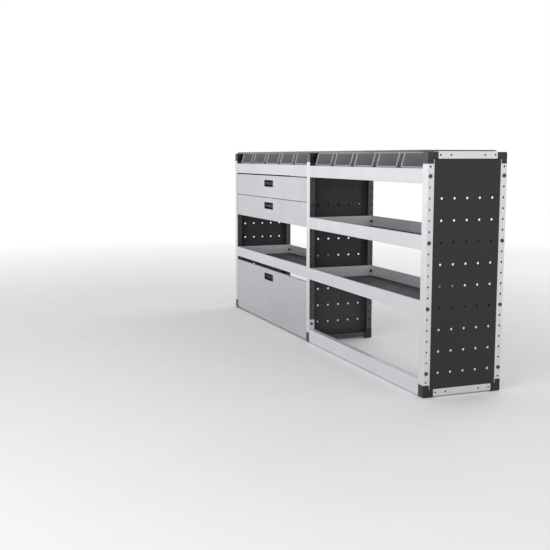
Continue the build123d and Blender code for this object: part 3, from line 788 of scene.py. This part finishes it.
class DrawerPieces(bpy.types.Operator):
    """Finishes the drawers, slides and keepers, and adds the drawers' rolled edges and screws"""

    bl_idname = "racking.drawers"
    bl_label = "Drawers"

    # The slides' screws along a drawer, as parts of its depth, and their heads' radius
    SCREW_SPOTS = (0.08, 0.36, 0.64, 0.92)
    SCREW_R = 3.4 * MM

    def execute(self, context):
        dress("Slide steel", "latch_keepers", "slides_outer")
        for which in DRAWERS:
            dress("Front sheet", f"drawer_front_{which}")
            dress("Box powder coat", f"drawer_box_{which}")
            dress("Slide steel", f"slides_middle_{which}", f"slides_inner_{which}")
            self.hem(which)
            self.slide_screws(which)
        return {"FINISHED"}

    def hem(self, which):
        """The rolled edge along the top of a drawer's sides and back."""
        low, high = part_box(f"drawer_box_{which}")
        wide, deep, over, round_by = 3.2 * MM, 5 * MM, 0.4 * MM, 0.7 * MM
        z0, z1 = high.z - deep, high.z + over
        y0, y1 = low.y + HAIR, high.y - wide
        mesh_work = bmesh.new()
        for x0, x1 in ((low.x - HAIR, low.x + wide), (high.x - wide, high.x + HAIR)):
            add_block(mesh_work, (x0, y0, z0), (x1, y1, z1), round_by)
        corner = (low.x - HAIR, y1 - HAIR, z0)
        add_block(mesh_work, corner, (high.x + HAIR, high.y + HAIR, z1), round_by)
        new_piece(
            f"drawer_hem_{which}", mesh_work, f"{which}_drawer", "Box powder coat"
        )

    def slide_screws(self, which):
        """Pan heads inside the drawer that hold it on the slides' inner members."""
        low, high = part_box(f"drawer_box_{which}")
        slide_low, slide_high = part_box(f"slides_inner_{which}")
        z = (slide_low.z + slide_high.z) / 2
        mesh_work = bmesh.new()
        for part in self.SCREW_SPOTS:
            y = low.y + (high.y - low.y) * part
            for x, way in ((low.x + SHEET, 1), (high.x - SHEET, -1)):
                add_pan_head(mesh_work, Vector((x, y, z)), Vector((way, 0, 0)), self.SCREW_R)
        new_piece(
            f"slide_screws_{which}", mesh_work, f"{which}_drawer", "Zinc steel"
        )


def add_pan_head(mesh_work, start, along, radius):
    """A low domed screw head with a hexagonal drive recess."""
    across = Vector((0, 0, 1)) if abs(along.z) < 0.5 else Vector((1, 0, 0))
    # Height and radius of each ring, then height and flats of the recess, all as
    # parts of the head's radius
    dome = ((0.0, 1.0), (0.18, 1.0), (0.34, 0.93), (0.46, 0.78), (0.53, 0.56))
    recess = ((0.55, 0.62), (0.2, 0.62))
    rings = [(radius * up, circle(radius * out)) for up, out in dome]
    rings += [(radius * up, hexagon(radius * wide)) for up, wide in recess]
    add_rings(mesh_work, rings, along, across, start)


class HandlePieces(bpy.types.Operator):
    """Finishes the recessed handles of the drawers and the flap"""

    bl_idname = "racking.handles"
    bl_label = "Handles"

    def execute(self, context):
        for which in FRONTS:
            dress("Handle plastic", f"handle_bezel_{which}", f"handle_paddle_{which}")
        return {"FINISHED"}


class FlapPieces(bpy.types.Operator):
    """Finishes the flap, its sill and hinges, and adds the hinges' screws"""

    bl_idname = "racking.flap"
    bl_label = "Flap"

    # The screws along a hinge, as parts of its length
    SCREW_SPOTS = (0.16, 0.5, 0.84)

    def execute(self, context):
        dress("Front sheet", "flap_door")
        dress("Zinc steel", "flap_sill", "hinge_leaves_fixed", "hinge_leaves_moving", "hinge_pins")
        radius = context.scene.racking_sizes.screw
        fixed, moving = bmesh.new(), bmesh.new()
        for low, high in islands("hinge_leaves_fixed"):
            y = high.y - 2 * radius
            for x in self.spots(low.x, high.x):
                start = Vector((x, y, low.z + SHEET))
                add_pan_head(fixed, start, Vector((0, 0, 1)), radius)
        for low, high in islands("hinge_leaves_moving"):
            for x in self.spots(low.x, high.x):
                start = Vector((x, low.y + SHEET, high.z - 2 * radius))
                add_pan_head(moving, start, Vector((0, 1, 0)), radius)
        new_piece("hinge_screws_fixed", fixed, "racking", "Zinc steel")
        new_piece("hinge_screws_moving", moving, "flap", "Zinc steel")
        return {"FINISHED"}

    def spots(self, x0, x1):
        """Where a hinge's screws stand between its ends."""
        return [x0 + (x1 - x0) * part for part in self.SCREW_SPOTS]


class FastenerPieces(bpy.types.Operator):
    """Stands chamfered, threaded bolts and nuts in for the plain ones"""

    bl_idname = "racking.fasteners"
    bl_label = "Bolts and nuts"

    # Distance across the flats, height of a bolt's head and radius of its shank
    FLATS = 13 * MM
    HEAD_HIGH = 5.5 * MM
    SHANK_R = 3.9 * MM
    # The threaded end: its length, the way from root to crest, and the depth
    THREAD_LONG = 10 * MM
    THREAD_STEP = 0.6 * MM
    THREAD_DEEP = 0.55 * MM
    # The plain point behind the thread, and how much narrower it ends
    POINT_LONG = 0.8 * MM
    POINT_DEEP = 0.9 * MM
    # A bolt no further than this from the right frame's posts is one of that frame's
    FRAME_REACH = 40 * MM

    def execute(self, context):
        bolts, nuts = bmesh.new(), bmesh.new()
        for low, high in islands("frame_bolts"):
            self.bolt(bolts, low, high)
        for low, high in islands("frame_nuts"):
            self.nut(nuts, low, high)
        bolts = new_piece("bolts_threaded", bolts, "racking", "Black steel")
        nuts = new_piece("nuts_chamfered", nuts, "racking", "Black steel")
        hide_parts("frame_bolts")
        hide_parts("frame_nuts")
        return {"FINISHED"}

    def way(self, low):
        """Bolts point inwards, from the panel face of their frame."""
        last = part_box("post_right_front")[0].x
        return Vector((-1 if low.x > last - self.FRAME_REACH else 1, 0, 0))

    def bolt(self, mesh_work, low, high):
        """A flanged hexagon head, a plain shank and a threaded end."""
        way = self.way(low)
        centre = (low + high) / 2
        start = Vector((low.x if way.x > 0 else high.x, centre.y, centre.z))
        reach = high.x - low.x
        flange = (high.y - low.y) / 2
        hexes = hexagon(self.FLATS)
        shank = self.SHANK_R
        rings = [
            (0.5 * MM, circle(self.FLATS * 0.26)),
            (0.0, circle(self.FLATS * 0.3)),
            (0.0, within(hexes, self.FLATS * 0.47)),
            (0.6 * MM, within(hexes, self.FLATS * 0.54)),
            (1.1 * MM, hexes),
            (3.3 * MM, hexes),
            (3.6 * MM, circle(self.FLATS * 0.56)),
            (4.7 * MM, circle(flange * 0.97)),
            (5.0 * MM, circle(flange)),
            (self.HEAD_HIGH, circle(flange)),
            (self.HEAD_HIGH, circle(shank)),
        ]
        thread_from = reach - self.THREAD_LONG
        rings.append((thread_from, circle(shank)))
        step = self.THREAD_STEP
        for k in range(int((reach - self.POINT_LONG - thread_from) / step)):
            radius = shank - (self.THREAD_DEEP if k % 2 == 0 else 0.0)
            rings.append((thread_from + step * (k + 1), circle(radius)))
        rings.append((reach, circle(shank - self.POINT_DEEP)))
        add_rings(mesh_work, rings, way, Vector((0, 0, 1)), start)

    def nut(self, mesh_work, low, high):
        """A hexagon nut, chamfered on both ends, round the bolt's end."""
        start = Vector((low.x, (low.y + high.y) / 2, (low.z + high.z) / 2))
        tall = high.x - low.x
        hexes = hexagon(self.FLATS)
        inner = circle(self.SHANK_R + HAIR)
        rings = [
            (0.4 * MM, inner),
            (0.0, within(hexes, self.FLATS * 0.42)),
            (0.0, within(hexes, self.FLATS * 0.5)),
            (0.7 * MM, hexes),
            (tall - 0.7 * MM, hexes),
            (tall, within(hexes, self.FLATS * 0.5)),
            (tall, within(hexes, self.FLATS * 0.42)),
            (tall - 0.4 * MM, inner),
        ]
        add_rings(mesh_work, rings, Vector((1, 0, 0)), Vector((0, 0, 1)), start)


class Stage(bpy.types.Operator):
    """Sets the floor, the lights and the camera"""

    bl_idname = "racking.stage"
    bl_label = "Stage"

    # The camera's place and where it points, its sensor in mm, and how near and far it sees
    CAMERA = (4.3801, -2.0388, 0.991)
    FORWARD = (-0.9268, 0.3521, -0.1309)
    SENSOR = 36
    CLIP = (0.05, 60)
    # Where the floor begins to fade, and where it has gone
    NEAR_FADE, FAR_FADE = 2.2, 6.0
    # What the lamps face, and each lamp's name, place, width and power property
    AIM = Vector((0.0, 0.0, 0.5))
    LAMPS = (
        ("Key light", (2.9, -4.1, 1.8), 3.2, "key"),
        ("Low light", (-5.0, -3.6, 1.6), 3.0, "low"),
        ("Side light", (4.6, 1.2, 2.4), 2.5, "side"),
        ("Back light", (-1.6, 3.8, 3.2), 3.0, "back"),
    )

    def execute(self, context):
        look = context.scene.racking_stage
        self.camera(context.scene, look.lens)
        self.world(context.scene, look.ambient)
        self.floor(context.scene, look.floor)
        for name, spot, size, power in self.LAMPS:
            self.lamp(name, spot, size, getattr(look, power))
        context.scene.view_settings.view_transform = "Standard"
        return {"FINISHED"}

    def camera(self, scene, lens):
        """The view of the photo."""
        data = bpy.data.cameras.new("Camera")
        data.sensor_fit = "HORIZONTAL"
        data.sensor_width = self.SENSOR
        data.lens = lens
        data.clip_start, data.clip_end = self.CLIP
        camera = bpy.data.objects.new("Camera", data)
        camera.location = self.CAMERA
        camera.rotation_euler = Vector(self.FORWARD).to_track_quat("-Z", "Y").to_euler()
        scene.collection.objects.link(camera)
        scene.camera = camera

    def world(self, scene, ambient):
        """White where it is seen, directly or in gloss, and softer as light."""
        world = bpy.data.worlds.new("Studio")
        world.use_nodes = True
        tree = world.node_tree
        light = tree.nodes["Background"]
        light.inputs["Color"].default_value = (1, 1, 1, 1)
        path = tree.nodes.new("ShaderNodeLightPath")
        shown = math_node(
            tree, "MAXIMUM", path.outputs["Is Camera Ray"], path.outputs["Is Glossy Ray"]
        )
        shown = math_node(tree, "MAXIMUM", shown, path.outputs["Is Transmission Ray"])
        strength = remap(tree, shown, to_low=ambient)
        tree.links.new(strength, light.inputs["Strength"])
        scene.world = world

    def floor(self, scene, colour):
        """A round floor that fades into the white world far from the racking."""
        made = bpy.data.materials.new("Floor")
        made.use_nodes = True
        tree = made.node_tree
        skin = tree.nodes["Principled BSDF"]
        skin.inputs["Roughness"].default_value = 0.7
        skin.inputs["Specular IOR Level"].default_value = 0.2
        spots = noise(tree, place(tree), scale=5.0, detail=4.0)
        spots = remap(tree, spots, low=0.3, high=0.7)
        tint = blend_colour(tree, spots, toned(colour, 0.985), colour)
        tree.links.new(tint, skin.inputs["Base Color"])
        far = add_node(tree, "ShaderNodeVectorMath", {0: place(tree)}, operation="LENGTH")
        fade = remap(tree, far.outputs["Value"], self.NEAR_FADE, self.FAR_FADE)
        clear = tree.nodes.new("ShaderNodeBsdfTransparent")
        mix = tree.nodes.new("ShaderNodeMixShader")
        tree.links.new(fade, mix.inputs[0])
        tree.links.new(skin.outputs[0], mix.inputs[1])
        tree.links.new(clear.outputs[0], mix.inputs[2])
        tree.links.new(mix.outputs[0], tree.nodes["Material Output"].inputs["Surface"])
        mesh_work = bmesh.new()
        radius = self.FAR_FADE + 1.0
        bmesh.ops.create_circle(mesh_work, cap_ends=True, segments=96, radius=radius)
        mesh = bpy.data.meshes.new("floor")
        mesh_work.to_mesh(mesh)
        mesh_work.free()
        mesh.materials.append(made)
        floor = bpy.data.objects.new("floor", mesh)
        scene.collection.objects.link(floor)

    def lamp(self, name, spot, size, power):
        """A square soft light that faces the middle of the racking."""
        data = bpy.data.lights.new(name, "AREA")
        data.size = size
        data.energy = power
        lamp = bpy.data.objects.new(name, data)
        lamp.location = spot
        lamp.rotation_euler = (self.AIM - lamp.location).to_track_quat("-Z", "Y").to_euler()
        bpy.context.scene.collection.objects.link(lamp)


class RackingPanel(bpy.types.Panel):
    """Sizes, colours and pieces of the racking"""

    bl_idname = "VIEW3D_PT_racking"
    bl_label = "Van racking"
    bl_space_type = "VIEW_3D"
    bl_region_type = "UI"
    bl_category = "Racking"

    def draw(self, context):
        scene = context.scene
        for group in (scene.racking_colours, scene.racking_sizes, scene.racking_stage):
            box = self.layout.box()
            for name in group.__annotations__:
                box.prop(group, name)
        for operator in OPERATORS:
            self.layout.operator(operator.bl_idname)


OPERATORS = (
    FrameFinishes,
    TrayPieces,
    BinPieces,
    DrawerPieces,
    HandlePieces,
    FlapPieces,
    FastenerPieces,
    Stage,
)
GROUPS = {
    "racking_colours": RackingColours,
    "racking_sizes": RackingSizes,
    "racking_stage": RackingStage,
}


def register():
    for name, group in GROUPS.items():
        bpy.utils.register_class(group)
        setattr(bpy.types.Scene, name, bpy.props.PointerProperty(type=group))
    for operator in OPERATORS:
        bpy.utils.register_class(operator)
    bpy.utils.register_class(RackingPanel)


def unregister():
    bpy.utils.unregister_class(RackingPanel)
    for operator in reversed(OPERATORS):
        bpy.utils.unregister_class(operator)
    for name, group in reversed(GROUPS.items()):
        delattr(bpy.types.Scene, name)
        bpy.utils.unregister_class(group)


def main():
    """Makes every piece and the stage."""
    register()
    bpy.ops.racking.frames()
    bpy.ops.racking.trays()
    bpy.ops.racking.bins()
    bpy.ops.racking.drawers()
    bpy.ops.racking.handles()
    bpy.ops.racking.flap()
    bpy.ops.racking.fasteners()
    bpy.ops.racking.stage()


if __name__ == "__main__":
    main()
